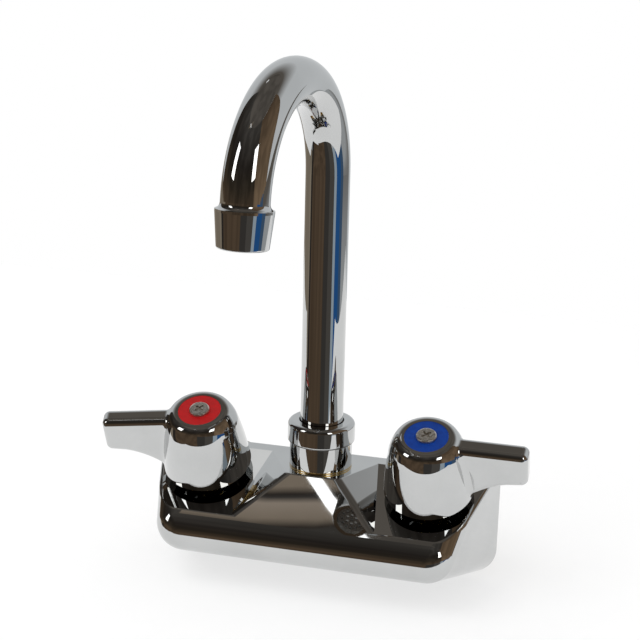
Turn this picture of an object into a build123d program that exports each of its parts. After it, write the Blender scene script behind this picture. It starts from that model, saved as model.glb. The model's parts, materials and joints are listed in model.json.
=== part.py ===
"""Splash mount faucet: two quarter-turn valves and a swivelling gooseneck on one casting.

Sizes are in millimetres. +Z is up and +Y points into the wall. The origin lies on the
wall face, midway between the two inlet shanks. Heights in the spout are measured from
the inlet centres, and heights in a valve from the casting's sloped top.
"""

import os
from math import cos, radians, sin, tan

from build123d import *

# Clearances
turning_clearance = 0.05
fitted_clearance = 0.08
moving_gap = 0.3

# Casting
inlet_centres = 101.6
body_end_margin = 29.0
body_drop = 26.8
side_draft = 15.0
bottom_draft = 17.0
bottom_corner_radius = 13.0
lip_reach = 49.1
lip_height = 8.0
slope_angle = 22.5
front_angle = 45.0
front_face_below_lip = 2.0
front_radius = 16.0
front_edge_radius = 10.0
ledge_depth = 9.75
hump_front_half = 12.0
hump_back_half = 24.8
hump_foot_half = 32.4
hump_edge_radius = 6.0
hump_brow_radius = 1.5
top_back_radius = 3.0
rim_radius = 2.0
casting_wall = 4.0

# Water ways in the casting
valve_up_slope = 28.0
valve_boss_radius = 13.5
valve_boss_height = 2.0
valve_seat_depth = 11.0
valve_pocket_radius = 7.5
valve_pocket_depth = 16.0
gallery_radius = 12.3
gallery_top_depth = 0.9
gallery_bottom_depth = 9.0
cross_way_depth = 6.5
cross_way_radius = 4.0
spout_boss_height = 0.15
spot_face_margin = 0.6
spout_well_floor = 7.0
spout_well_radius = 7.0

# Inlet shanks and what holds the faucet to the wall
shank_radius = 10.45
shank_bore_radius = 6.5
shank_in_casting = 9.0
inlet_way_radius = 6.0
inlet_way_depth = 13.0
shank_behind_wall = 33.0
shank_end_chamfer = 1.0
supply_thread_length = 15.0
thread_relief_width = 2.0
thread_relief_depth = 1.0
splash_thickness = 6.0
gasket_radius = 18.0
gasket_thickness = 2.0
shank_washer_radius = 17.0
shank_washer_thickness = 1.6
lock_nut_across_flats = 30.0
lock_nut_height = 6.0

# Cartridges
cartridge_radius = 9.9
cartridge_inner_radius = 8.7
cartridge_hex_across_flats = 21.0
cartridge_hex_height = 5.5
cartridge_window_half_width = 3.0
cartridge_ring_thickness = 1.8
seat_seal_thickness = 2.2
seat_seal_hole_radius = 6.0
disc_radius = 8.5
fixed_disc_thickness = 3.0
moving_disc_thickness = 2.4
disc_port_radius = 2.4
disc_port_offset = 4.4
stem_radius = 4.6
stem_flange_radius = 8.2
stem_flange_thickness = 2.2
stem_ring_thickness = 1.6
stem_square = 6.4
clip_radius = 7.2
clip_thickness = 1.0
clip_groove_depth = 0.7
clip_mouth = 6.0

# Handles
handle_bottom = 4.0
handle_top = 34.4
skirt_radius = 19.7
handle_middle_radius = 18.5
handle_shoulder_radius = 16.6
handle_shoulder_height = 26.5
handle_crown_radius = 12.7
handle_edge_radius = 4.0
handle_wall = 3.0
socket_boss_radius = 7.2
socket_foot = 13.0
socket_roof_height = 28.0
lever_top = 32.4
lever_reach = 43.8
lever_width = 9.6
lever_tip_height = 16.8
lever_neck_reach = 35.0
lever_neck_height = 18.0
lever_web_reach = 26.0
lever_web_height = 21.8
lever_foot_inset = 0.9
lever_foot_rise = 0.8
lever_edge_radius = 3.0
lever_blend_radius = 3.0
hot_lever_turn = 11.5
index_radius = 9.5
index_recess = 1.2
index_thickness = 1.1
screw_head_radius = 4.5
screw_head_height = 1.3
screw_dome_radius = 0.9
screw_radius = 2.0
screw_length = 15.0
screw_turn = 45.0
screw_slot_length = 4.6
screw_slot_width = 1.0
screw_slot_depth = 1.0

# Spout
spout_setback = 17.5
spout_turn = -5.94
neck_shoulder = 0.9
neck_washer_thickness = 0.7
neck_top = 36.0
neck_thread_wall = 1.95
neck_thread_height = 2.6
neck_spigot_radius = 10.6
neck_spigot_length = 9.0
spout_nut_overhang = 1.1
spout_nut_top = 45.5
spout_nut_edge_radius = 2.2
spout_nut_foot_radius = 1.0
spout_nut_roof = 5.1
spout_nut_gap = 0.5
tube_radius = 9.525
tube_wall = 1.2
tube_foot = 27.5
bend_centre_height = 157.25
bend_radius = 44.45
bend_angle = 173.0
tube_straight_end = 3.0
bushing_wall = 1.475
bushing_height = 7.0
spout_ring_thickness = 1.0
spout_ring_inset = 2.1
retaining_ring_width = 1.9
retaining_ring_thickness = 1.4
retaining_ring_groove = 0.5
retaining_ring_mouth = 6.0
adapter_flare = 1.875
adapter_above_tube_end = 2.2
adapter_waist = 0.775
adapter_waist_height = 0.55
adapter_edge_height = 1.0
adapter_thread_length = 6.0
adapter_thread_step = 0.375
aerator_taper = 1.3
aerator_height = 14.0
aerator_edge_radius = 0.9
aerator_wall = 1.0
aerator_lip = 1.4
aerator_washer_width = 2.0
aerator_washer_thickness = 1.5
aerator_screen_thickness = 0.8
aerator_hole_radius = 0.8
aerator_hole_circle = 5.2
aerator_hole_count = 12

# Far enough to pass every face of the faucet, and near enough to count as touching
beyond = 400.0
touching = 0.001

from_bottom = (Align.CENTER, Align.CENTER, Align.MIN)
body_half_width = inlet_centres / 2 + body_end_margin
slope_normal = Vector(0, -sin(radians(slope_angle)), cos(radians(slope_angle)))
lip = Vector(0, -lip_reach, lip_height)
hump_height = lip_height + (lip_reach - ledge_depth) * tan(radians(slope_angle))
sides = {"hot": -1, "cold": 1}


def below(plane):
    """Everything on the back of a plane, as far as it matters."""
    return plane.location * Pos(0, 0, -beyond / 2) * Box(beyond, beyond, beyond)


def upright_box(length, width, bottom, top):
    return Pos(0, 0, bottom) * Box(length, width, top - bottom, align=from_bottom)


def disc(radius, bottom, top):
    return Pos(0, 0, bottom) * Cylinder(radius, top - bottom, align=from_bottom)


def ring(outer, inner, bottom, top):
    return disc(outer, bottom, top) - disc(inner, bottom, top)


def hexagon(across_flats, bottom, top):
    outline = RegularPolygon(across_flats / 2, 6, major_radius=False)
    return Pos(0, 0, bottom) * extrude(outline, top - bottom)


def round_ring(inner, thickness, height):
    """An O-ring around the axis, resting on its inner radius."""
    return Pos(0, 0, height) * Torus(inner + thickness / 2, thickness / 2)


def turned(*points):
    """A solid turned about Z from a closed outline of (radius, height) points."""
    return revolve(make_face(Plane.XZ * Polyline(*points, close=True)), Axis.Z)


def lies_on(plane, edge):
    spots = (edge @ 0, edge.center(), edge @ 1)
    return all(abs((spot - plane.origin).dot(plane.z_dir)) < touching for spot in spots)


def valve_frame(side):
    """Z runs up the valve's axis from the casting's slope, and X along the wall."""
    up_slope = Vector(0, cos(radians(slope_angle)), sin(radians(slope_angle)))
    foot = lip + up_slope * valve_up_slope + Vector(side * inlet_centres / 2, 0, 0)
    return Plane(origin=foot, x_dir=(1, 0, 0), z_dir=slope_normal).location


def lever_frame(name):
    """A valve's frame turned so that X points along its lever."""
    turn = 180 + hot_lever_turn if name == "hot" else 0
    return valve_frame(sides[name]) * Rot(0, 0, turn)


def shank_frame(side):
    """Z runs from the wall face into the wall."""
    return Plane(origin=(side * inlet_centres / 2, 0, 0), x_dir=(1, 0, 0), z_dir=(0, 1, 0)).location


spout_frame = Pos(0, -spout_setback, 0)
outlet_frame = spout_frame * Rot(0, 0, spout_turn - 90)


def along_bend(angle):
    """A point on the gooseneck's bend and the way the tube runs there."""
    turn = radians(angle)
    place = Vector(bend_radius * (1 - cos(turn)), 0, bend_centre_height + bend_radius * sin(turn))
    return place, Vector(sin(turn), 0, cos(turn))


def tube_end():
    place, way = along_bend(bend_angle)
    return place + way * tube_straight_end


tube_end_frame = outlet_frame * Pos(*tube_end()) * Rot(0, bend_angle - 180, 0)


def front_section(inset):
    """The casting's side view: a straight front that turns under in one arc."""
    lean = radians(front_angle)
    start = lip + Vector(0, -cos(lean), -sin(lean)) * front_face_below_lip
    start += Vector(0, sin(lean), -cos(lean)) * inset
    radius = front_radius - inset
    centre = start + Vector(0, sin(lean), -cos(lean)) * radius
    top = start.Z - start.Y * tan(lean)
    foot = centre.Z - radius - body_drop
    nose = (centre.Y - radius, centre.Z)
    under = (centre.Y, centre.Z - radius)
    outline = Polyline((0, foot), (0, top), (start.Y, start.Z))
    outline += ThreePointArc((start.Y, start.Z), nose, under)
    outline += Polyline(under, (centre.Y, foot), (0, foot))
    return extrude(make_face(Plane.YZ * outline), beyond / 2, both=True)


def hump(inset):
    """The space under the hump's flat top and its two side facets."""
    rise = hump_height - lip_height
    front = Vector(hump_front_half, rise / tan(radians(front_angle)) - lip_reach, hump_height)
    back = Vector(hump_back_half, rise / tan(radians(slope_angle)) - lip_reach, hump_height)
    foot = Vector(hump_foot_half, -lip_reach, lip_height)
    facet = (back - front).cross(foot - front).normalized() * -1
    mirrored = Vector(-facet.X, facet.Y, facet.Z)
    right = Plane(origin=front - facet * inset, z_dir=facet)
    left = Plane(origin=Vector(-front.X, front.Y, front.Z) - mirrored * inset, z_dir=mirrored)
    return below(Plane.XY.offset(hump_height - inset)) & below(right) & below(left)


def body_form(inset):
    """The casting's outside, or the space inside its walls."""
    slant = radians(side_draft)
    under = radians(bottom_draft)
    underside = Vector(0, -sin(under), -cos(under))
    bottom = Plane(origin=(0, 0, -body_drop), z_dir=underside).offset(-inset)
    right_side = Vector(cos(slant), -sin(slant), 0)
    right = Plane(origin=(body_half_width, 0, 0), z_dir=right_side).offset(-inset)
    left_side = Vector(-cos(slant), -sin(slant), 0)
    left = Plane(origin=(-body_half_width, 0, 0), z_dir=left_side).offset(-inset)
    wall = Plane(origin=(0, 0, 0), z_dir=(0, 1, 0))
    form = front_section(inset) & below(bottom) & below(right) & below(left)
    ends = [e for e in form.edges() if lies_on(left, e) or lies_on(right, e)]
    corners = [e for e in ends if lies_on(bottom, e)]
    form = fillet(corners, bottom_corner_radius - inset)
    nose = form.faces().filter_by(GeomType.CYLINDER).sort_by(Axis.Y)[0]
    flat = form.faces().filter_by(GeomType.PLANE).sort_by(Axis.Z)[-1]
    level = [e for e in flat.edges() if lies_on(wall, e) or abs((e @ 0).X + (e @ 1).X) < touching]
    edges = [e for e in nose.edges() + flat.edges() if e not in level]
    form = fillet(edges, front_edge_radius - inset)
    slope = Plane(origin=lip, x_dir=(1, 0, 0), z_dir=slope_normal).offset(-inset)
    ledge = Plane.XY.offset(hump_height - inset)
    return form & below(ledge) & (below(slope) + hump(inset))


def rounded_body():
    """The casting's outside with its hump edges and rim rounded off."""
    form = body_form(0)
    lean = radians(front_angle)
    front = Plane(origin=lip, x_dir=(1, 0, 0), z_dir=(0, -sin(lean), cos(lean)))
    slope = Plane(origin=lip, x_dir=(1, 0, 0), z_dir=slope_normal)
    on_front = [e for e in form.edges() if lies_on(front, e) and abs(e.center().X) < hump_foot_half]
    ledge = Plane.XY.offset(hump_height)
    wall = Plane(origin=(0, 0, 0), z_dir=(0, 1, 0))
    below_top = [e for e in on_front if not lies_on(ledge, e)]
    ridges = [e for e in below_top if e.center().Z > lip_height + touching]
    form = fillet(ridges, hump_edge_radius)
    brow = [e for e in form.edges() if lies_on(front, e) and lies_on(ledge, e)]
    form = fillet(brow, hump_brow_radius)
    top_back = [e for e in form.edges() if lies_on(ledge, e) and lies_on(wall, e)]
    form = fillet(top_back, top_back_radius)
    far_out = [e for e in form.edges() if abs(e.center().X) > hump_foot_half]
    rim = [e for e in far_out if lies_on(slope, e) != lies_on(ledge, e)]
    rim = [e for e in rim if not lies_on(wall, e)]
    return fillet(rim, rim_radius)


def body_casting():
    """A shell open to the wall, with bosses and the water ways cast inside it."""
    outside = rounded_body()
    seat = -valve_seat_depth
    pocket_floor = seat - valve_pocket_depth
    spout_face = hump_height + spout_boss_height
    crossing = valve_frame(0) * Pos(-inlet_centres / 2, 0, -cross_way_depth) * Rot(0, 90, 0)
    walls = crossing * disc(cross_way_radius + casting_wall, 0, inlet_centres)
    walls += spout_frame * disc(neck_radius, spout_well_floor - casting_wall, hump_height)
    bosses = spout_frame * disc(neck_radius, spout_well_floor, spout_face)
    hollow = crossing * disc(cross_way_radius, 0, inlet_centres)
    hollow += spout_frame * disc(spout_well_radius, spout_well_floor, spout_face)
    spigot_floor = spout_face - neck_spigot_length - moving_gap
    hollow += spout_frame * disc(neck_spigot_radius + fitted_clearance, spigot_floor, spout_face)
    hollow += spout_frame * disc(neck_radius + spot_face_margin, spout_face, neck_top)
    for side in sides.values():
        valve = valve_frame(side)
        shank = shank_frame(side)
        walls += valve * disc(gallery_radius + casting_wall, pocket_floor - casting_wall, 0)
        walls += shank * disc(shank_radius + casting_wall, -shank_in_casting, 0)
        walls += shank * disc(inlet_way_radius + casting_wall, -inlet_way_depth, 0)
        bosses += valve * disc(valve_boss_radius, -casting_wall, valve_boss_height)
        hollow += valve * disc(cartridge_radius + fitted_clearance, seat, valve_boss_height)
        hollow += valve * disc(gallery_radius, -gallery_bottom_depth, -gallery_top_depth)
        hollow += valve * disc(valve_pocket_radius, pocket_floor, seat)
        hollow += shank * disc(shank_radius + fitted_clearance, -shank_in_casting, 0)
        hollow += shank * disc(inlet_way_radius, -inlet_way_depth, 0)
    shell = outside - body_form(casting_wall)
    return shell + (walls & outside) + bosses - hollow


def inlet_shank(side):
    """A threaded pipe with a relief between the wall thread and the supply thread."""
    relief_end = shank_behind_wall - supply_thread_length
    pipe = ring(shank_radius, shank_bore_radius, -shank_in_casting, shank_behind_wall)
    rim = pipe.edges().filter_by(GeomType.CIRCLE).group_by(Axis.Z)[-1].sort_by(SortBy.RADIUS)[-1]
    pipe = chamfer(rim, shank_end_chamfer)
    relief_floor = shank_radius - thread_relief_depth
    relief = ring(beyond, relief_floor, relief_end - thread_relief_width, relief_end)
    return shank_frame(side) * (pipe - relief)


def on_both_shanks(piece):
    return [shank_frame(side) * piece for side in sides.values()]


def shank_gasket():
    top = splash_thickness + gasket_thickness
    return ring(gasket_radius, shank_radius + fitted_clearance, splash_thickness, top)


def shank_washer():
    bottom = splash_thickness + gasket_thickness
    top = bottom + shank_washer_thickness
    return ring(shank_washer_radius, shank_radius + fitted_clearance, bottom, top)


def lock_nut():
    bottom = splash_thickness + gasket_thickness + shank_washer_thickness
    top = bottom + lock_nut_height
    hole = disc(shank_radius + fitted_clearance, bottom, top)
    return hexagon(lock_nut_across_flats, bottom, top) - hole


# Heights in a valve, from the seat up
fixed_disc_bottom = seat_seal_thickness - valve_seat_depth
fixed_disc_top = fixed_disc_bottom + fixed_disc_thickness
moving_disc_bottom = fixed_disc_top + turning_clearance
moving_disc_top = moving_disc_bottom + moving_disc_thickness
stem_flange_top = moving_disc_top + stem_flange_thickness
cartridge_ceiling = stem_flange_top + turning_clearance
cartridge_top = valve_boss_height + cartridge_hex_height
clip_bottom = cartridge_top + turning_clearance
clip_top = clip_bottom + clip_thickness
stem_ring_height = (cartridge_ceiling + cartridge_top) / 2
cartridge_ring_height = (valve_boss_height - gallery_top_depth) / 2
square_bottom = clip_top + moving_gap
square_top = socket_roof_height - moving_gap
index_seat = handle_top - index_recess
screw_seat = index_seat + index_thickness


def seat_seal():
    return ring(cartridge_radius, seat_seal_hole_radius, -valve_seat_depth, fixed_disc_bottom)


def ceramic_disc(radius, bottom, top):
    """A ceramic plate with two ports that line up when the valve is open."""
    plate = disc(radius, bottom, top)
    for way in (-1, 1):
        plate -= Pos(way * disc_port_offset, 0, 0) * disc(disc_port_radius, bottom, top)
    return plate


def fixed_disc():
    return ceramic_disc(disc_radius, fixed_disc_bottom, fixed_disc_top)


def moving_disc():
    radius = cartridge_inner_radius - moving_gap
    return Rot(0, 0, 90) * ceramic_disc(radius, moving_disc_bottom, moving_disc_top)


def cartridge_body():
    """A brass sleeve around the discs with a hexagon above the casting."""
    sleeve = disc(cartridge_radius, fixed_disc_bottom, valve_boss_height)
    sleeve += hexagon(cartridge_hex_across_flats, valve_boss_height, cartridge_top)
    sleeve -= disc(cartridge_inner_radius, fixed_disc_bottom, cartridge_ceiling)
    sleeve -= disc(stem_radius + turning_clearance, cartridge_ceiling, cartridge_top)
    groove = cartridge_ring_thickness / 2 + turning_clearance
    groove_floor = cartridge_radius - cartridge_ring_thickness
    groove_bottom = cartridge_ring_height - groove
    sleeve -= ring(beyond, groove_floor, groove_bottom, groove_bottom + 2 * groove)
    width = 2 * cartridge_window_half_width
    for turn in (0, 90):
        window = upright_box(beyond, width, moving_disc_top, cartridge_ceiling)
        sleeve -= Rot(0, 0, turn) * window
    return sleeve


def cartridge_ring():
    inner = cartridge_radius - cartridge_ring_thickness
    return round_ring(inner, cartridge_ring_thickness, cartridge_ring_height)


def stem():
    """The drive flange on the moving disc, the shaft above it and the handle's square."""
    shaft = disc(stem_flange_radius, moving_disc_top, stem_flange_top)
    shaft += disc(stem_radius, stem_flange_top, square_bottom)
    shaft += upright_box(stem_square, stem_square, square_bottom, square_top)
    shaft -= disc(screw_radius + fitted_clearance, screw_seat - screw_length - moving_gap, square_top)
    groove = stem_ring_thickness / 2 + turning_clearance
    groove_floor = stem_radius - stem_ring_thickness
    shaft -= ring(beyond, groove_floor, stem_ring_height - groove, stem_ring_height + groove)
    shaft -= ring(beyond, stem_radius - clip_groove_depth, clip_bottom, clip_top)
    return shaft


def stem_ring():
    return round_ring(stem_radius - stem_ring_thickness, stem_ring_thickness, stem_ring_height)


def stem_clip():
    """A spring clip, open on one side, that keeps the stem in its bush."""
    clip = ring(clip_radius, stem_radius - clip_groove_depth, clip_bottom, clip_top)
    mouth = upright_box(2 * clip_radius, clip_mouth, clip_bottom, clip_top)
    return clip - Pos(clip_radius, 0, 0) * mouth


def hub(inset):
    """The handle's round body, or the hollow inside it."""
    side = ThreePointArc(
        (skirt_radius - inset, handle_bottom),
        (handle_middle_radius - inset, (handle_bottom + handle_shoulder_height) / 2),
        (handle_shoulder_radius - inset, handle_shoulder_height),
    )
    shoulder = TangentArc(side @ 1, (handle_crown_radius - inset, handle_top), tangent=side % 1)
    rest = Polyline(shoulder @ 1, (0, handle_top), (0, handle_bottom), side @ 0)
    face = make_face(side + shoulder + rest)
    edge = face.vertices().group_by(Axis.Y)[-1].sort_by(Axis.X)[-1]
    away_from_lever = Plane(origin=(0, 0, 0), x_dir=(-1, 0, 0), z_dir=(0, 1, 0))
    return revolve(away_from_lever * fillet(edge, handle_edge_radius), Axis.Z)


def lever():
    """A flat lever with soft edges, whose underside sweeps down to the foot of the skirt."""
    tip = (lever_reach, lever_top - lever_tip_height)
    neck = (lever_neck_reach, lever_top - lever_neck_height)
    web = (lever_web_reach, lever_top - lever_web_height)
    foot = (skirt_radius - lever_foot_inset, handle_bottom + lever_foot_rise)
    outline = Polyline((0, foot[1]), (0, lever_top), (lever_reach, lever_top), tip, neck)
    outline += ThreePointArc(neck, web, foot)
    outline += Line(foot, (0, foot[1]))
    blade = extrude(make_face(Plane.XZ * outline), lever_width / 2, both=True)
    outside = [e for e in blade.edges() if max((e @ 0).X, (e @ 1).X) > foot[0] + moving_gap]
    across = [e for e in outside if abs((e @ 0).Y - (e @ 1).Y) > moving_gap]
    at_tip = [e for e in across if e.center().X > lever_reach - moving_gap]
    along = [e for e in outside if e not in across]
    return fillet(along + at_tip, lever_edge_radius)


def handle():
    """The hub and lever in one casting, hollow below, with a square socket for the stem."""
    body = hub(0)
    arm = lever()
    joined = body + arm
    joined = fillet(new_edges(body, arm, combined=joined), lever_blend_radius)
    hollow = hub(handle_wall) & disc(beyond, handle_bottom, socket_roof_height)
    hollow -= disc(socket_boss_radius, socket_foot, socket_roof_height)
    socket = stem_square + 2 * fitted_clearance
    hollow += upright_box(socket, socket, socket_foot, socket_roof_height)
    hollow += disc(screw_radius + fitted_clearance, socket_roof_height, index_seat)
    hollow += disc(index_radius + fitted_clearance, index_seat, handle_top)
    return joined - hollow


def index_ring():
    return ring(index_radius, screw_radius + fitted_clearance, index_seat, screw_seat)


def handle_screw():
    """A domed screw head with a cross recess."""
    head = disc(screw_head_radius, screw_seat, screw_seat + screw_head_height)
    dome = head.edges().filter_by(GeomType.CIRCLE).group_by(Axis.Z)[-1]
    head = fillet(dome, screw_dome_radius)
    screw = head + disc(screw_radius, screw_seat - screw_length, screw_seat)
    top = screw_seat + screw_head_height
    for turn in (screw_turn, screw_turn + 90):
        slot = upright_box(screw_slot_length, screw_slot_width, top - screw_slot_depth, top)
        screw -= Rot(0, 0, turn) * slot
    return screw


# Radii in the spout, from the tube out
tube_inner_radius = tube_radius - tube_wall
bushing_radius = tube_radius + bushing_wall
neck_thread_radius = bushing_radius + turning_clearance + neck_thread_wall
neck_radius = neck_thread_radius + neck_shoulder
spout_nut_radius = neck_radius + spout_nut_overhang
adapter_radius = tube_radius + adapter_flare
adapter_waist_radius = tube_radius + adapter_waist
adapter_thread_radius = tube_radius + adapter_thread_step
aerator_foot_radius = adapter_radius - aerator_taper

# Heights in the spout, from the casting up
neck_washer_bottom = hump_height + spout_boss_height
neck_bottom = neck_washer_bottom + neck_washer_thickness
neck_crown = neck_top + neck_thread_height
retaining_ring_bottom = neck_crown + turning_clearance
retaining_ring_top = retaining_ring_bottom + retaining_ring_thickness
bushing_top = tube_foot + bushing_height


def neck_washer():
    return ring(neck_radius, neck_spigot_radius + fitted_clearance, neck_washer_bottom, neck_bottom)


def spout_neck():
    """The column that is screwed into the casting and takes the spout's foot."""
    column = disc(neck_radius, neck_bottom, neck_top)
    column += disc(neck_thread_radius, neck_top, neck_crown)
    column += disc(neck_spigot_radius, neck_washer_bottom - neck_spigot_length, neck_bottom)
    column -= disc(bushing_radius + turning_clearance, tube_foot - moving_gap, neck_crown)
    return column - disc(spout_well_radius, neck_washer_bottom - neck_spigot_length, tube_foot)


def spout_nut():
    """The ring nut over the neck's thread, with a hole for the tube in its roof."""
    body = disc(spout_nut_radius, neck_top, spout_nut_top)
    crown = body.edges().filter_by(GeomType.CIRCLE).group_by(Axis.Z)[-1]
    body = fillet(crown, spout_nut_edge_radius)
    foot = body.edges().filter_by(GeomType.CIRCLE).group_by(Axis.Z)[0]
    body = fillet(foot, spout_nut_foot_radius)
    body -= disc(neck_thread_radius + fitted_clearance, neck_top, spout_nut_top - spout_nut_roof)
    return body - disc(tube_radius + spout_nut_gap, neck_top, spout_nut_top)


def retaining_ring():
    """A split ring in the tube's groove that the nut holds down on the neck."""
    inner = tube_radius - retaining_ring_groove
    clip = ring(inner + retaining_ring_width, inner, retaining_ring_bottom, retaining_ring_top)
    across = 2 * tube_radius
    mouth = upright_box(across, retaining_ring_mouth, retaining_ring_bottom, retaining_ring_top)
    return clip - Pos(tube_radius, 0, 0) * mouth


def gooseneck_tube():
    bend_start = along_bend(0)[0]
    bend_end = along_bend(bend_angle)[0]
    path = Line((0, 0, tube_foot), bend_start)
    path += ThreePointArc(bend_start, along_bend(bend_angle / 2)[0], bend_end)
    path += Line(bend_end, tube_end())
    section = Pos(0, 0, tube_foot) * (Circle(tube_radius) - Circle(tube_inner_radius))
    tube = sweep(section, path=path)
    groove_floor = tube_radius - retaining_ring_groove
    return tube - ring(2 * tube_radius, groove_floor, retaining_ring_bottom, retaining_ring_top)


def bushing_ring_heights():
    return tube_foot + spout_ring_inset, bushing_top - spout_ring_inset


def spout_bushing():
    """The sleeve on the tube's foot that turns in the neck and carries two O-rings."""
    sleeve = ring(bushing_radius, tube_radius, tube_foot, bushing_top)
    groove = spout_ring_thickness / 2 + turning_clearance
    groove_floor = bushing_radius - spout_ring_thickness
    for height in bushing_ring_heights():
        sleeve -= ring(2 * bushing_radius, groove_floor, height - groove, height + groove)
    return sleeve


def spout_rings():
    inner = bushing_radius - spout_ring_thickness
    return [round_ring(inner, spout_ring_thickness, height) for height in bushing_ring_heights()]


# Heights at the outlet, from the tube's end down
nipple_bottom = -adapter_edge_height - adapter_thread_length
aerator_bottom = -adapter_edge_height - aerator_height
aerator_inner_radius = aerator_foot_radius - aerator_wall
aerator_seat = aerator_bottom + aerator_lip
washer_bottom = nipple_bottom - aerator_washer_thickness
screen_top = aerator_seat + aerator_screen_thickness


def outlet_adapter():
    """The flared shoulder on the tube's end, with a threaded nipple for the aerator."""
    flare = ThreePointArc(
        (tube_radius, adapter_above_tube_end),
        (adapter_waist_radius, adapter_waist_height),
        (adapter_radius, 0),
    )
    outline = flare + Polyline(
        (adapter_radius, 0),
        (adapter_radius, -adapter_edge_height),
        (adapter_thread_radius, -adapter_edge_height),
        (adapter_thread_radius, nipple_bottom),
        (tube_inner_radius, nipple_bottom),
        (tube_inner_radius, 0),
        (tube_radius, 0),
        (tube_radius, adapter_above_tube_end),
    )
    return revolve(make_face(Plane.XZ * outline), Axis.Z)


def aerator_shell():
    thread = adapter_thread_radius + fitted_clearance
    body = turned(
        (0, -adapter_edge_height),
        (adapter_radius, -adapter_edge_height),
        (aerator_foot_radius, aerator_bottom),
        (0, aerator_bottom),
    )
    foot = body.edges().filter_by(GeomType.CIRCLE).group_by(Axis.Z)[0]
    body = fillet(foot, aerator_edge_radius)
    body -= disc(thread, nipple_bottom, -adapter_edge_height)
    body -= disc(aerator_inner_radius, aerator_seat, nipple_bottom)
    return body - disc(aerator_inner_radius - aerator_lip, aerator_bottom, aerator_seat)


def aerator_washer():
    outer = aerator_inner_radius - fitted_clearance
    return ring(outer, outer - aerator_washer_width, washer_bottom, nipple_bottom)


def drilled_plate(bottom, top, circles):
    """A round plate in the aerator with rings of small holes."""
    plate = disc(aerator_inner_radius - fitted_clearance, bottom, top)
    holes = disc(aerator_hole_radius, bottom, top)
    for radius, count in circles:
        for spot in PolarLocations(radius, count):
            holes += spot * disc(aerator_hole_radius, bottom, top)
    return plate - holes


def aerator_insert():
    return drilled_plate(screen_top, washer_bottom, [(aerator_hole_circle, aerator_hole_count)])


def aerator_screen():
    inner_circle = aerator_hole_circle / 2
    circles = [(inner_circle, aerator_hole_count // 2), (aerator_hole_circle, aerator_hole_count)]
    return drilled_plate(aerator_seat, screen_top, circles)


def write(name, piece):
    export_step(piece, os.path.join("parts", name + ".step"))


os.makedirs("parts", exist_ok=True)

write("body_casting", body_casting())
write("shank_gaskets", Compound(children=on_both_shanks(shank_gasket())))
write("shank_washers", Compound(children=on_both_shanks(shank_washer())))
write("lock_nuts", Compound(children=on_both_shanks(lock_nut())))

write("neck_washer", spout_frame * neck_washer())
write("spout_neck", spout_frame * spout_neck())
write("spout_nut", spout_frame * spout_nut())
write("gooseneck_tube", outlet_frame * gooseneck_tube())
write("spout_bushing", outlet_frame * spout_bushing())
write("spout_o_rings", Compound(children=[outlet_frame * piece for piece in spout_rings()]))
write("retaining_ring", outlet_frame * retaining_ring())
write("outlet_adapter", tube_end_frame * outlet_adapter())
write("aerator_shell", tube_end_frame * aerator_shell())
write("aerator_washer", tube_end_frame * aerator_washer())
write("aerator_insert", tube_end_frame * aerator_insert())
write("aerator_screen", tube_end_frame * aerator_screen())

fixed_in_valve = {
    "cartridge_body": cartridge_body(),
    "cartridge_o_ring": cartridge_ring(),
    "fixed_disc": fixed_disc(),
    "seat_seal": seat_seal(),
}
turned_by_lever = {
    "handle": handle(),
    "index_ring": index_ring(),
    "handle_screw": handle_screw(),
    "stem": stem(),
    "stem_o_ring": stem_ring(),
    "stem_clip": stem_clip(),
    "moving_disc": moving_disc(),
}
for name, side in sides.items():
    write(name + "_inlet_shank", inlet_shank(side))
    for piece, solid in fixed_in_valve.items():
        write(name + "_" + piece, valve_frame(side) * solid)
    for piece, solid in turned_by_lever.items():
        write(name + "_" + piece, lever_frame(name) * solid)
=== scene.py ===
"""The looks of the splash mount faucet: chrome, brass, plastics, threads, studio and camera."""

import json
import math

import bmesh
import bpy
from mathutils import Matrix, Vector


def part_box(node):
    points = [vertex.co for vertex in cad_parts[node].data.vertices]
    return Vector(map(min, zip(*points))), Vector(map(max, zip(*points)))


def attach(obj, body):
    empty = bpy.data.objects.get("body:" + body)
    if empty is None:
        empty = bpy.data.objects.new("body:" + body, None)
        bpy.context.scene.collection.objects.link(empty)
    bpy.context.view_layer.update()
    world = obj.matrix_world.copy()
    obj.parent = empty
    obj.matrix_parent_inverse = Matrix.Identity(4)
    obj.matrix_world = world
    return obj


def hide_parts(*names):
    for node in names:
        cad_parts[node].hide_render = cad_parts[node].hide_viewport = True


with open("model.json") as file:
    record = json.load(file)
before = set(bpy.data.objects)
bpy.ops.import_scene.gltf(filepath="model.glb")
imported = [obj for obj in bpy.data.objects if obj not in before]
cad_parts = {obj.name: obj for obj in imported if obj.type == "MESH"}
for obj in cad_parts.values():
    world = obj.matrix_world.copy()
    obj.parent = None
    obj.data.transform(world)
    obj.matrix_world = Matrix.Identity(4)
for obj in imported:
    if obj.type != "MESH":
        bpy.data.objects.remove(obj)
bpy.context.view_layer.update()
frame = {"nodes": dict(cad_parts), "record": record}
nodes = frame["nodes"]
scene = bpy.context.scene

# Pipe thread on the inlet shanks, in metres
thread_pitch = 0.001814
thread_depth = 0.00115
supply_thread_length = 0.015
thread_relief_width = 0.002
shank_bore_radius = 0.0065
shank_chamfer = 0.001

# One pitch of the thread: places along it, each with 0 for the crest or 1 for the root
thread_profile = [(0.0, 1), (0.08, 1), (0.44, 0), (0.56, 0), (0.92, 1)]

# The shanks' meshes: steps around, distance of points that become one, and angle of a sharp edge
around = 72
weld_distance = 1e-6
sharp_angle = math.radians(25)

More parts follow.
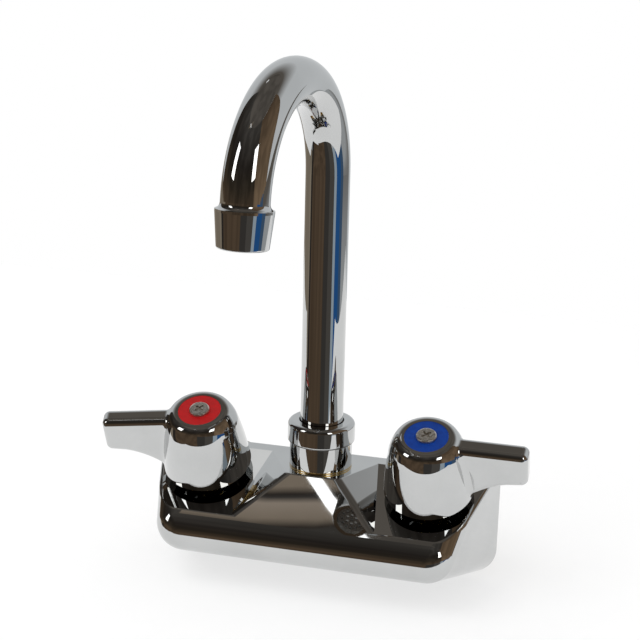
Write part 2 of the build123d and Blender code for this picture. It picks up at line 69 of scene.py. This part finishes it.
# The casting's hollow: a line along its middle, and planes that enclose what lies well inside.
# The planes stand for front, top, underside and ends, each a direction and a distance.
hollow_ends = [(-0.06, -0.015, -0.008), (0.06, -0.015, -0.008)]
top_lean = math.radians(22.5)
underside_lean = math.radians(17)
end_lean = math.radians(15)
hollow_planes = [
    ((0, -1, 0), 0.030),
    ((0, -math.sin(top_lean), math.cos(top_lean)), 0.0217),
    ((0, -math.sin(underside_lean), -math.cos(underside_lean)), 0.0211),
    ((math.cos(end_lean), -math.sin(end_lean), 0), 0.0726),
    ((-math.cos(end_lean), -math.sin(end_lean), 0), 0.0726),
]
facing_margin = 0.0005

# Surfaces: noise scales per metre, and depths of bumps in metres
smudge_scale = 45
wave_scale = 70
wave_strength = 0.005
wave_depth = 0.0003
cast_grain_scale = 500
grain_scale = 400
fine_grain_scale = 1300
grain_depth = 0.0002
fibre_scale = 300
patch_scale = 1

# Colour sockets of a Mix node, which have their names in common with its other sockets
mix_first = 6
mix_second = 7
mix_result = 2

# Studio, in metres and degrees
floor_height = -0.0285
floor_edge = [
    (-0.12, -0.146), (0.39, -0.146), (0.42, 0.42), (-0.42, 0.42), (-0.42, -0.02), (-0.19, -0.07),
]
floor_glow = 0.62
world_light = 0.8
studio_middle = Vector((0, -0.03, 0.05))
card_step = 5
lamp_distance = 3.0
panel_distance = 3.4
room_distance = 4.0
roof_distance = 4.2
wall_distance = 4.4
ground_distance = 5.0

# Colours of the studio
dark_room = (0.034, 0.028, 0.024)
dark_brown = (0.048, 0.037, 0.026)
brown = (0.115, 0.078, 0.050)
tan = (0.25, 0.17, 0.105)
stone = (0.30, 0.25, 0.19)
roof = (0.13, 0.115, 0.10)
brown_grey = (0.27, 0.22, 0.17)
light_brown = (0.35, 0.29, 0.235)
pale_grey = (0.69, 0.71, 0.725)
mid_grey = (0.42, 0.435, 0.445)
dusk = (0.050, 0.046, 0.042)
umber = (0.085, 0.078, 0.070)
sky_grey = (0.37, 0.44, 0.50)
blue = (0.022, 0.10, 0.29)
dark_blue = (0.06, 0.11, 0.19)
warm_white = (1, 0.97, 0.92)
white = (1, 1, 1)


def node_tree(owner):
    owner.use_nodes = True
    tree = owner.node_tree
    tree.nodes.clear()
    return tree


def principled(name):
    material = bpy.data.materials.new(name)
    tree = node_tree(material)
    shader = tree.nodes.new("ShaderNodeBsdfPrincipled")
    out = tree.nodes.new("ShaderNodeOutputMaterial")
    tree.links.new(shader.outputs["BSDF"], out.inputs["Surface"])
    return material, tree, shader


def grey(value):
    return (value, value, value)


def ramp(tree, source, stops):
    node = tree.nodes.new("ShaderNodeValToRGB")
    while len(node.color_ramp.elements) < len(stops):
        node.color_ramp.elements.new(0.5)
    for element, (place, colour) in zip(node.color_ramp.elements, stops):
        element.position = place
        element.color = (*colour, 1)
    tree.links.new(source, node.inputs["Fac"])
    return node.outputs["Color"]


def blend(tree, source, first, second, low=0.3, high=0.7):
    """A ramp from one colour to another between two levels of its source."""
    return ramp(tree, source, [(low, first), (high, second)])


def noise(tree, scale, detail):
    coords = tree.nodes.new("ShaderNodeTexCoord")
    texture = tree.nodes.new("ShaderNodeTexNoise")
    texture.inputs["Scale"].default_value = scale
    texture.inputs["Detail"].default_value = detail
    tree.links.new(coords.outputs["Object"], texture.inputs["Vector"])
    return texture.outputs["Fac"]


def bump(tree, shader, height, strength, distance):
    node = tree.nodes.new("ShaderNodeBump")
    node.inputs["Strength"].default_value = strength
    node.inputs["Distance"].default_value = distance
    tree.links.new(height, node.inputs["Height"])
    tree.links.new(node.outputs["Normal"], shader.inputs["Normal"])


def mixed(tree, kind, first, second, share=None):
    """Two colours mixed in full, or by a share."""
    node = tree.nodes.new("ShaderNodeMix")
    node.data_type = "RGBA"
    node.blend_type = kind
    node.inputs["Factor"].default_value = 1
    if share:
        tree.links.new(share, node.inputs["Factor"])
    tree.links.new(first, node.inputs[mix_first])
    tree.links.new(second, node.inputs[mix_second])
    return node.outputs[mix_result]


def vectors(tree, operation, first, second):
    """A vector operation on a socket, with a socket or a constant as the second vector."""
    node = tree.nodes.new("ShaderNodeVectorMath")
    node.operation = operation
    tree.links.new(first, node.inputs[0])
    if isinstance(second, tuple):
        node.inputs[1].default_value = second
    else:
        tree.links.new(second, node.inputs[1])
    return node.outputs["Value" if operation == "DOT_PRODUCT" else "Vector"]


def numbers(tree, operation, first, second):
    """An operation on a socket, with a socket or a constant as the second number."""
    node = tree.nodes.new("ShaderNodeMath")
    node.operation = operation
    tree.links.new(first, node.inputs[0])
    if isinstance(second, float):
        node.inputs[1].default_value = second
    else:
        tree.links.new(second, node.inputs[1])
    return node.outputs[0]


def inside_casting(tree):
    """1 where a surface faces the casting's hollow or lies well inside it, and 0 elsewhere."""
    place = tree.nodes.new("ShaderNodeTexCoord").outputs["Object"]
    facing = tree.nodes.new("ShaderNodeNewGeometry").outputs["True Normal"]
    middle = vectors(tree, "MINIMUM", vectors(tree, "MAXIMUM", place, hollow_ends[0]), hollow_ends[1])
    outward = vectors(tree, "DOT_PRODUCT", vectors(tree, "SUBTRACT", place, middle), facing)
    deep = None
    for normal, limit in hollow_planes:
        below = numbers(tree, "LESS_THAN", vectors(tree, "DOT_PRODUCT", place, normal), limit)
        deep = numbers(tree, "MULTIPLY", deep, below) if deep else below
    return numbers(tree, "MAXIMUM", numbers(tree, "LESS_THAN", outward, -facing_margin), deep)


def chrome(name, cast=False):
    """Polished plating with faint smudges, which leaves the inside of a casting raw."""
    material, tree, shader = principled(name)
    shader.inputs["Metallic"].default_value = 1
    smudge = noise(tree, smudge_scale, detail=4)
    colour = blend(tree, smudge, (0.565, 0.571, 0.569), (0.530, 0.537, 0.535), low=0.35)
    rough = blend(tree, smudge, grey(0.01), grey(0.03), low=0.4, high=0.75)
    if cast:
        raw = inside_casting(tree)
        grain = noise(tree, cast_grain_scale, detail=6)
        skin = blend(tree, grain, (0.40, 0.31, 0.17), (0.27, 0.21, 0.12))
        colour = mixed(tree, "MIX", colour, skin, raw)
        rough = mixed(tree, "MIX", rough, blend(tree, grain, grey(0.5), grey(0.7)), raw)
    tree.links.new(colour, shader.inputs["Base Color"])
    tree.links.new(rough, shader.inputs["Roughness"])
    bump(tree, shader, noise(tree, wave_scale, detail=1), wave_strength, wave_depth)
    return material


def plain(name, colours, roughness, metallic=0.0, scale=grain_scale, height=0.15, specular=0.5):
    """A grainy surface between two colours and between two levels of roughness."""
    material, tree, shader = principled(name)
    shader.inputs["Metallic"].default_value = metallic
    shader.inputs["Specular IOR Level"].default_value = specular
    grain = noise(tree, scale, detail=5)
    colour = blend(tree, grain, *colours)
    tree.links.new(colour, shader.inputs["Base Color"])
    rough = blend(tree, grain, grey(roughness[0]), grey(roughness[1]))
    tree.links.new(rough, shader.inputs["Roughness"])
    bump(tree, shader, grain, height, grain_depth)
    return material


def dress(node, material):
    for place in nodes[node].material_slots:
        place.material = material


materials = {
    "chrome": chrome("chrome"),
    "brass": plain("brass", [(0.70, 0.50, 0.20), (0.58, 0.40, 0.15)], (0.25, 0.4), metallic=1.0),
    "steel": plain("steel", [(0.92, 0.89, 0.84), (0.60, 0.57, 0.53)], (0.26, 0.48),
                   metallic=1.0, height=0.5),
    "rubber": plain("rubber", [grey(0.02), grey(0.035)], (0.6, 0.8)),
    "ceramic": plain("ceramic", [(0.80, 0.78, 0.72), (0.72, 0.70, 0.65)], (0.3, 0.5)),
    "white_plastic": plain("white_plastic", [(0.80, 0.80, 0.78), (0.72, 0.72, 0.70)], (0.35, 0.5)),
    "red_plastic": plain("red_plastic", [(0.43, 0.004, 0.005), (0.35, 0.003, 0.004)], (0.35, 0.5),
                         specular=0.2),
    "blue_plastic": plain("blue_plastic", [(0.002, 0.040, 0.27), (0.001, 0.030, 0.21)], (0.35, 0.5),
                          specular=0.15),
}
casting_chrome = chrome("chrome_casting", cast=True)
# Steel of the aerator screen with painted shade: its colour is darker than the other steel, standing
# for the shadow inside the aerator shell and in the screen's holes.
screen_steel_painted_shade = plain("screen_steel_painted_shade", [(0.34, 0.32, 0.29), (0.20, 0.19, 0.17)], (0.4, 0.6),
                   metallic=1.0, scale=fine_grain_scale, height=0.5)
worn_steel = plain("worn_steel", [(0.95, 0.92, 0.86), (0.42, 0.39, 0.35)], (0.24, 0.5),
                   metallic=1.0, scale=fine_grain_scale, height=1.0)

for part in frame["record"]["subparts"]:
    dress(part["node"], materials[part["material_slot"]])
dress("body_casting", casting_chrome)
dress("aerator_screen", screen_steel_painted_shade)
dress("hot_handle_screw", worn_steel)
dress("cold_handle_screw", worn_steel)


def thread_rows(start, end, radius):
    """Helical rows of a thread between two heights, cut flat at both ends."""
    rows = []
    turns = math.ceil((end - start) / thread_pitch) + 1
    for turn in range(-1, turns):
        for share, deep in thread_profile:
            heights = [start + thread_pitch * (turn + share + j / around) for j in range(around + 1)]
            rows.append([(min(max(y, start), end), radius - deep * thread_depth) for y in heights])
    return rows


def level_row(height, radius):
    return [(height, radius)] * (around + 1)


def turned_mesh(name, centre, rows):
    """A skin over rows of (height, radius) around an axis along Y."""
    points = []
    faces = []
    for row in rows:
        for j, (height, radius) in enumerate(row):
            angle = 2 * math.pi * j / around
            x = centre.x + radius * math.cos(angle)
            z = centre.z - radius * math.sin(angle)
            points.append((x, height, z))
    for i in range(len(rows) - 1):
        for j in range(around):
            k = i * (around + 1) + j
            faces.append((k, k + around + 1, k + around + 2, k + 1))
    mesh = bpy.data.meshes.new(name)
    mesh.from_pydata(points, [], faces)
    shape = bmesh.new()
    shape.from_mesh(mesh)
    bmesh.ops.remove_doubles(shape, verts=shape.verts, dist=weld_distance)
    bmesh.ops.dissolve_degenerate(shape, edges=shape.edges, dist=weld_distance)
    bmesh.ops.recalc_face_normals(shape, faces=shape.faces)
    shape.to_mesh(mesh)
    shape.free()
    mesh.shade_smooth()
    mesh.set_sharp_from_angle(angle=sharp_angle)
    piece = bpy.data.objects.new(name, mesh)
    scene.collection.objects.link(piece)
    return piece


def threaded_shank(node):
    """An inlet shank with its real pipe threads in place of the plain cylinder."""
    low, high = (Vector(corner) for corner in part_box(node))
    centre = (low + high) / 2
    radius = (high.x - low.x) / 2
    relief_end = high.y - supply_thread_length
    relief_start = relief_end - thread_relief_width
    root = radius - thread_depth
    rows = [level_row(low.y, shank_bore_radius), level_row(low.y, radius), level_row(0, radius)]
    rows += thread_rows(0, relief_start, radius)
    rows += [level_row(relief_start, root), level_row(relief_end, root)]
    rows += thread_rows(relief_end, high.y - shank_chamfer, radius)
    rows += [level_row(high.y - shank_chamfer, root), level_row(high.y, root - shank_chamfer / 2)]
    rows += [level_row(high.y, shank_bore_radius), level_row(low.y, shank_bore_radius)]
    piece = turned_mesh(node + "_threads", centre, rows)
    piece.data.materials.append(materials["brass"])
    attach(piece, "body")
    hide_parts(node)


threaded_shank("hot_inlet_shank")
threaded_shank("cold_inlet_shank")


def seen_directly(tree):
    """1 on rays from the camera, from a mirror or through glass, and 0 on the rest."""
    path = tree.nodes.new("ShaderNodeLightPath")
    total = path.outputs["Is Camera Ray"]
    for kind in ("Is Glossy Ray", "Is Transmission Ray"):
        total = numbers(tree, "MAXIMUM", total, path.outputs[kind])
    return total


def white_world():
    """White for what the camera and mirrors see, and a plain level of light for the rest."""
    world = bpy.data.worlds.new("studio")
    scene.world = world
    tree = node_tree(world)
    strength = tree.nodes.new("ShaderNodeMapRange")
    strength.inputs["To Min"].default_value = world_light
    strength.inputs["To Max"].default_value = 1.0
    tree.links.new(seen_directly(tree), strength.inputs["Value"])
    background = tree.nodes.new("ShaderNodeBackground")
    background.inputs["Color"].default_value = (*white, 1)
    tree.links.new(strength.outputs["Result"], background.inputs["Strength"])
    out = tree.nodes.new("ShaderNodeOutputWorld")
    tree.links.new(background.outputs["Background"], out.inputs["Surface"])


def floor_sheet():
    """A pale sheet under the faucet that ends a little in front of it."""
    material, tree, shader = principled("floor")
    shader.inputs["Roughness"].default_value = 0.8
    shader.inputs["Specular IOR Level"].default_value = 0.0
    fibre = blend(tree, noise(tree, fibre_scale, detail=2), grey(0.38), grey(0.40))
    tree.links.new(fibre, shader.inputs["Base Color"])
    shader.inputs["Emission Color"].default_value = (*white, 1)
    lift = tree.nodes.new("ShaderNodeMapRange")
    lift.inputs["To Max"].default_value = floor_glow
    tree.links.new(seen_directly(tree), lift.inputs["Value"])
    tree.links.new(lift.outputs["Result"], shader.inputs["Emission Strength"])
    mesh = bpy.data.meshes.new("floor")
    mesh.from_pydata([(x, y, floor_height) for x, y in floor_edge], [], [range(len(floor_edge))])
    mesh.materials.append(material)
    piece = bpy.data.objects.new("floor", mesh)
    scene.collection.objects.link(piece)


def glow(name, stops, strength, patches):
    """Light that changes from a card's lower to its upper edge, with some darker patches."""
    material = bpy.data.materials.new(name)
    tree = node_tree(material)
    rise = tree.nodes.new("ShaderNodeAttribute")
    rise.attribute_name = "rise"
    colour = ramp(tree, rise.outputs["Fac"], stops)
    if patches:
        cloud = noise(tree, patch_scale, detail=2)
        dark = blend(tree, cloud, grey(1 - patches), white, low=0.4, high=0.62)
        colour = mixed(tree, "MULTIPLY", colour, dark)
    light = tree.nodes.new("ShaderNodeEmission")
    light.inputs["Strength"].default_value = strength
    tree.links.new(colour, light.inputs["Color"])
    out = tree.nodes.new("ShaderNodeOutputMaterial")
    tree.links.new(light.outputs["Emission"], out.inputs["Surface"])
    return material


def card(name, azimuths, elevations, stops,
         distance=room_distance, strength=1.0, patches=0.0, slant=0.0):
    """A curved card that only mirrors see, coloured by elevation, which may climb to the right."""
    left, right = azimuths
    low, high = elevations
    columns = max(2, round((right - left) / card_step))
    rows = max(2, round((high - low) / card_step))
    points = []
    rises = []
    faces = []
    for i in range(rows + 1):
        for j in range(columns + 1):
            e = math.radians(low + (high - low) * i / rows + slant * j / columns)
            a = math.radians(left + (right - left) * j / columns)
            way = Vector((math.sin(a) * math.cos(e), -math.cos(a) * math.cos(e), math.sin(e)))
            points.append(way * distance)
            rises.append(i / rows)
    for i in range(rows):
        for j in range(columns):
            k = i * (columns + 1) + j
            faces.append((k, k + 1, k + columns + 2, k + columns + 1))
    mesh = bpy.data.meshes.new(name)
    mesh.from_pydata(points, [], faces)
    mesh.attributes.new("rise", "FLOAT", "POINT").data.foreach_set("value", rises)
    shares = [((level - low) / (high - low), colour) for level, colour in stops]
    mesh.materials.append(glow(name, shares, strength, patches))
    piece = bpy.data.objects.new(name, mesh)
    piece.location = studio_middle
    scene.collection.objects.link(piece)
    piece.visible_camera = False
    piece.visible_diffuse = False
    piece.visible_shadow = False
    piece.visible_transmission = False


def even_card(name, azimuths, elevations, colour, **more):
    """A card of one colour."""
    card(name, azimuths, elevations, [(level, colour) for level in elevations], **more)


white_world()
floor_sheet()

# Cards by azimuth, from straight ahead (-Y) towards +X, and by elevation
card("room_front", (-118, 53), (-4, 62),
     [(-4, brown), (10, dark_brown), (30, dark_room), (62, umber)], patches=0.35)
card("room_right", (52, 112), (-4, 60), [(-4, tan), (60, brown)], patches=0.3)
even_card("roof", (0, 360), (60, 90), roof, distance=roof_distance, patches=0.3)
card("roof_panel", (-38, -18), (57.8, 61),
     [(57.86, dark_room), (58.3, brown_grey), (59.1, light_brown), (59.42, dusk), (59.58, dark_room),
      (60.0, brown_grey), (61, brown_grey)], distance=panel_distance, slant=6.6)
even_card("tube_lamp", (-34, -22), (63.2, 63.8), white,
          distance=lamp_distance, strength=2.5, slant=-2.12)
even_card("skylight", (-149, -140.5), (61.5, 64.5), white, distance=lamp_distance)
card("back_wall", (111, 243), (-20, 61),
     [(-20, pale_grey), (36, pale_grey), (57, roof), (61, roof)], distance=wall_distance)
card("ground", (0, 360), (-85, -20), [(-85, pale_grey), (-20, mid_grey)], distance=ground_distance)
for side, window in (("left", (-62, -47)), ("right", (37, 52))):
    card(side + "_window", window, (16, 40), [(16, warm_white), (40, white)],
         distance=lamp_distance, strength=3.0)
even_card("low_left", (-150, -80), (-32, -3), stone, patches=0.2)
even_card("low_left_edge", (-80, -69), (-50, -3), dark_room)
even_card("low_front_left", (-69, 2), (-75, -3), brown, patches=0.3)
even_card("low_front", (2, 25), (-75, -3), dusk)
even_card("low_front_right", (25, 49), (-75, -3), umber)
even_card("low_right", (49, 62), (-40, -3), sky_grey)
even_card("low_blue", (62, 85), (-36, -3), blue)
even_card("low_blue_edge", (85, 101), (-36, -3), dark_blue)
card("low_back", (101, 150), (-32, -3), [(-32, mid_grey), (-15, mid_grey), (-8, roof), (-3, roof)])


def softbox(name, place, aim, size, power):
    """A square area light that mirrors don't show."""
    light = bpy.data.lights.new(name, "AREA")
    light.shape = "SQUARE"
    light.size = size
    light.energy = power
    lamp = bpy.data.objects.new(name, light)
    scene.collection.objects.link(lamp)
    lamp.location = place
    lamp.rotation_euler = (Vector(aim) - Vector(place)).to_track_quat("-Z", "Y").to_euler()
    lamp.visible_glossy = False


softbox("key_light", place=(-0.9, -1.1, 1.8), aim=(0, 0, 0.05), size=1.2, power=18)


def photo_camera():
    """The photograph's own viewpoint, solved from the valve spacing and the tube."""
    aim = Vector((-0.0019, -0.0175, 0.09139))
    distance = 0.69097
    azimuth, elevation, roll = (math.radians(v) for v in (14.37, 17.15, 1.41))
    back = Vector((math.sin(azimuth) * math.cos(elevation),
                   -math.cos(azimuth) * math.cos(elevation), math.sin(elevation)))
    right = Vector((math.cos(azimuth), math.sin(azimuth), 0))
    up = back.cross(right)
    across = right * math.cos(roll) + up * math.sin(roll)
    upward = up * math.cos(roll) - right * math.sin(roll)
    data = bpy.data.cameras.new("photo_camera")
    data.sensor_width = 36
    data.lens = 89.14
    camera = bpy.data.objects.new("photo_camera", data)
    scene.collection.objects.link(camera)
    turn = Matrix((across, upward, back)).transposed().to_4x4()
    camera.matrix_world = Matrix.Translation(aim + back * distance) @ turn
    scene.camera = camera


photo_camera()
scene.view_settings.view_transform = "Standard"
